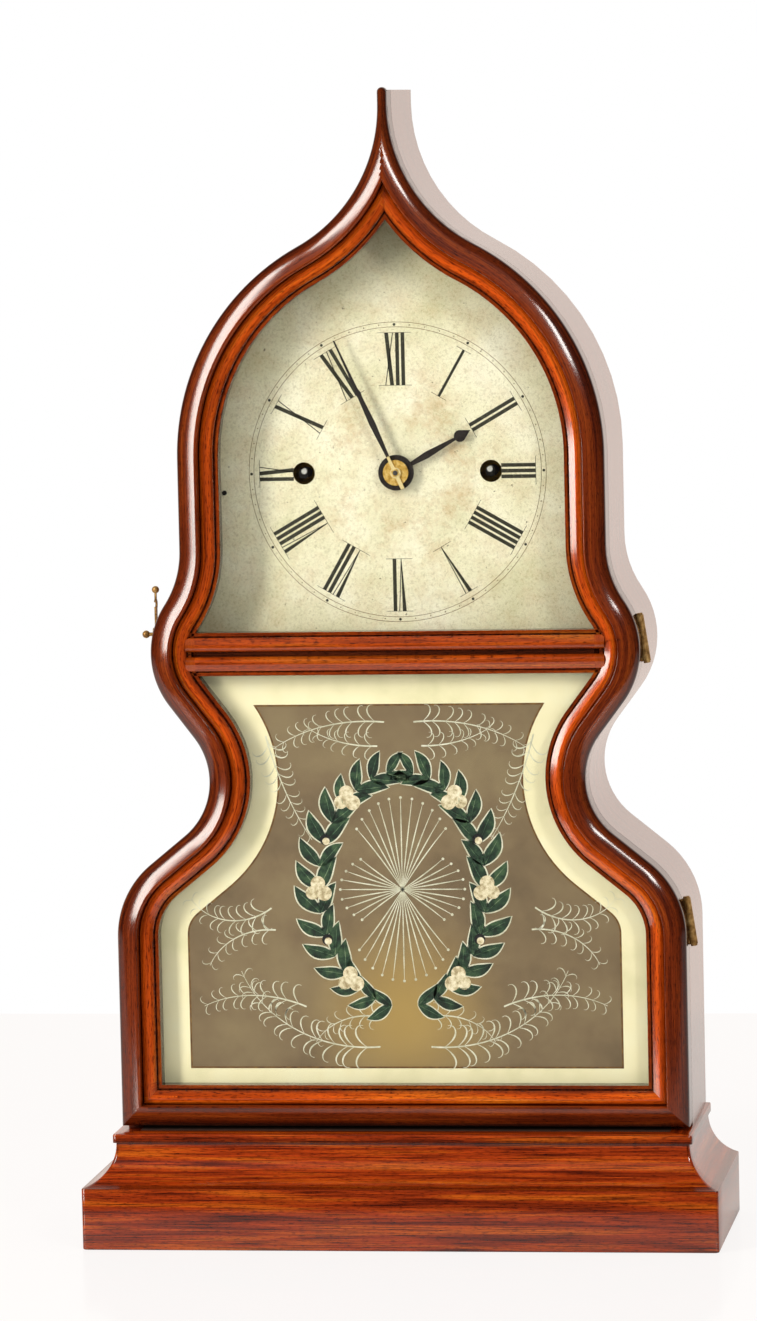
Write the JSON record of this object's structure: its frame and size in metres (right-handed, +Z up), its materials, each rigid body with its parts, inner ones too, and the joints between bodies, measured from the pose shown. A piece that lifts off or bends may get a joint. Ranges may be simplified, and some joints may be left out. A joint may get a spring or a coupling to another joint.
{
  "type": "acorn shelf clock",
  "caption": "Acorn-shaped mahogany shelf clock with hinged glazed door, painted dial and glass panel, hands, two-train movement, pendulum and gong.",
  "frame": {"origin": "centre of the footprint, on the surface the clock stands on", "axes": "+Z up, -Y toward the viewer (the dial faces -Y), +X to the viewer's right"},
  "size_m": [0.345, 0.125, 0.622],
  "materials": {
    "mahogany": "French-polished mahogany veneer, glossy, aged",
    "mahogany_side": "French-polished mahogany veneer on the bent sides",
    "mahogany_base": "mahogany veneer, worn gloss",
    "softwood": "bare pine, dulled with age",
    "stained_strip": "dark-stained wood",
    "clear_glass": "old clear sheet glass",
    "painted_glass": "sheet glass painted on its back: cream border, taupe ground, a wreath",
    "dial_paint": "aged cream paint with black printed numerals",
    "brass": "aged brass",
    "bright_brass": "polished brass",
    "steel": "plain steel",
    "blued_steel": "black oxidised steel",
    "black_iron": "black japanned cast iron"
  },
  "bodies": {
    "case": {"plinth_front": "mahogany_base", "plinth_sides": "mahogany_base", "cove_front": "mahogany_base", "cove_sides": "mahogany_base", "base_back": "softwood", "case_floor": "softwood", "glue_blocks": "softwood", "case_side_left": "mahogany_side", "case_side_right": "mahogany_side", "back_board": "softwood", "back_screws": "steel", "hinge_case_leaves": "bright_brass", "hinge_pins": "bright_brass", "case_screws": "bright_brass", "dial": "dial_paint", "dial_blocks": "softwood", "dial_pins": "brass", "front_plate": "brass", "back_plate": "brass", "pillars": "brass", "pillar_nuts": "brass", "movement_posts": "softwood", "suspension_cock": "brass", "gong": "steel", "gong_stand": "black_iron"},
    "door": {"stile_left": "mahogany", "stile_right": "mahogany", "bottom_rail": "mahogany", "crossbar": "mahogany", "outer_roll": "mahogany", "upper_band": "mahogany", "lower_band": "mahogany", "upper_glass": "clear_glass", "tablet_glass": "painted_glass", "glazing_strips": "stained_strip", "hinge_door_leaves": "bright_brass", "door_screws": "bright_brass", "latch_pin": "bright_brass"},
    "hook": {"latch_hook": "bright_brass"},
    "minute": {"minute_pipe": "bright_brass", "minute_hand": "blued_steel"},
    "hour": {"hour_wheel": "brass", "hour_hand": "blued_steel"},
    "minute_work": {"minute_wheel": "brass"},
    "time_drum": {"time_barrel": "brass"},
    "time_arbor": {"time_winder": "steel"},
    "second": {"second_wheel": "brass"},
    "centre": {"centre_wheel": "brass"},
    "third": {"third_wheel": "brass"},
    "escape": {"escape_wheel": "brass"},
    "verge": {"anchor": "steel"},
    "swing": {"pendulum": "steel", "bob": "bright_brass"},
    "strike_drum": {"strike_barrel": "brass"},
    "strike_arbor": {"strike_winder": "steel"},
    "strike_two": {"strike_second": "brass"},
    "strike_three": {"strike_third": "brass"},
    "fan": {"fly": "brass"},
    "count": {"count_wheel": "brass"},
    "striker": {"hammer": "steel"}
  },
  "joints": [
    {"name": "door_hinge", "type": "hinge", "parent": "case", "child": "door", "pos_m": [0.1329, -0.01475, 0.32501], "axis": [-0.1461, 0, 0.9893], "range_deg": [0, 110]},
    {"name": "hook_pivot", "type": "hinge", "parent": "case", "child": "hook", "pos_m": [-0.1332, -0.006, 0.33001], "axis": [1, 0, 0], "range_deg": [0, 90]},
    {"name": "minute_turn", "type": "hinge", "parent": "case", "child": "minute", "pos_m": [0, 0, 0.415], "axis": [0, 1, 0], "continuous": true},
    {"name": "hour_turn", "type": "hinge", "parent": "case", "child": "hour", "pos_m": [0, 0, 0.415], "axis": [0, 1, 0], "continuous": true},
    {"name": "minute_work_turn", "type": "hinge", "parent": "case", "child": "minute_work", "pos_m": [0, 0.004, 0.3982], "axis": [0, 1, 0], "continuous": true},
    {"name": "escape_turn", "type": "hinge", "parent": "case", "child": "escape", "pos_m": [0, 0.025, 0.46252], "axis": [0, 1, 0], "continuous": true},
    {"name": "third_turn", "type": "hinge", "parent": "case", "child": "third", "pos_m": [0.00458, 0.025, 0.441], "axis": [0, 1, 0], "continuous": true},
    {"name": "centre_turn", "type": "hinge", "parent": "case", "child": "centre", "pos_m": [0, 0.025, 0.415], "axis": [0, 1, 0], "continuous": true},
    {"name": "second_turn", "type": "hinge", "parent": "case", "child": "second", "pos_m": [0.02289, 0.025, 0.39888], "axis": [0, 1, 0], "continuous": true},
    {"name": "time_drum_turn", "type": "hinge", "parent": "case", "child": "time_drum", "pos_m": [0.051, 0.025, 0.415], "axis": [0, 1, 0], "continuous": true},
    {"name": "time_winding", "type": "hinge", "parent": "case", "child": "time_arbor", "pos_m": [0.051, 0.025, 0.415], "axis": [0, 1, 0], "continuous": true},
    {"name": "pendulum_swing", "type": "hinge", "parent": "case", "child": "swing", "pos_m": [0, 0.05, 0.48142], "axis": [0, 1, 0], "range_deg": [-2.5, 2.5]},
    {"name": "verge_swing", "type": "hinge", "parent": "case", "child": "verge", "pos_m": [0, 0.025, 0.48142], "axis": [0, 1, 0], "range_deg": [-2.5, 2.5]},
    {"name": "fly_turn", "type": "hinge", "parent": "case", "child": "fan", "pos_m": [0.00485, 0.025, 0.36891], "axis": [0, 1, 0], "continuous": true},
    {"name": "strike_three_turn", "type": "hinge", "parent": "case", "child": "strike_three", "pos_m": [-0.00877, 0.025, 0.37387], "axis": [0, 1, 0], "continuous": true},
    {"name": "strike_two_turn", "type": "hinge", "parent": "case", "child": "strike_two", "pos_m": [-0.03105, 0.025, 0.38947], "axis": [0, 1, 0], "continuous": true},
    {"name": "strike_drum_turn", "type": "hinge", "parent": "case", "child": "strike_drum", "pos_m": [-0.051, 0.025, 0.415], "axis": [0, 1, 0], "continuous": true},
    {"name": "count_turn", "type": "hinge", "parent": "case", "child": "count", "pos_m": [-0.05036, 0.004, 0.37016], "axis": [0, 1, 0], "continuous": true},
    {"name": "strike_winding", "type": "hinge", "parent": "case", "child": "strike_arbor", "pos_m": [-0.051, 0.025, 0.415], "axis": [0, 1, 0], "continuous": true},
    {"name": "hammer_pivot", "type": "hinge", "parent": "case", "child": "striker", "pos_m": [-0.04, 0.025, 0.358], "axis": [0, 1, 0], "range_deg": [0, 8], "stiffness_Nm_per_rad": 0.05}
  ],
  "couplings": [
    {"joint": "hour_turn", "follows": "minute_turn", "ratio": 0.083333},
    {"joint": "minute_work_turn", "follows": "minute_turn", "ratio": -0.33333},
    {"joint": "third_turn", "follows": "escape_turn", "ratio": -0.1},
    {"joint": "centre_turn", "follows": "escape_turn", "ratio": 0.01},
    {"joint": "second_turn", "follows": "escape_turn", "ratio": -0.0016667},
    {"joint": "time_drum_turn", "follows": "escape_turn", "ratio": 0.00020833},
    {"joint": "verge_swing", "follows": "pendulum_swing", "ratio": 1},
    {"joint": "strike_three_turn", "follows": "fly_turn", "ratio": -0.16},
    {"joint": "strike_two_turn", "follows": "fly_turn", "ratio": 0.021333},
    {"joint": "strike_drum_turn", "follows": "fly_turn", "ratio": -0.0026667},
    {"joint": "count_turn", "follows": "fly_turn", "ratio": -0.0035556}
  ]
}
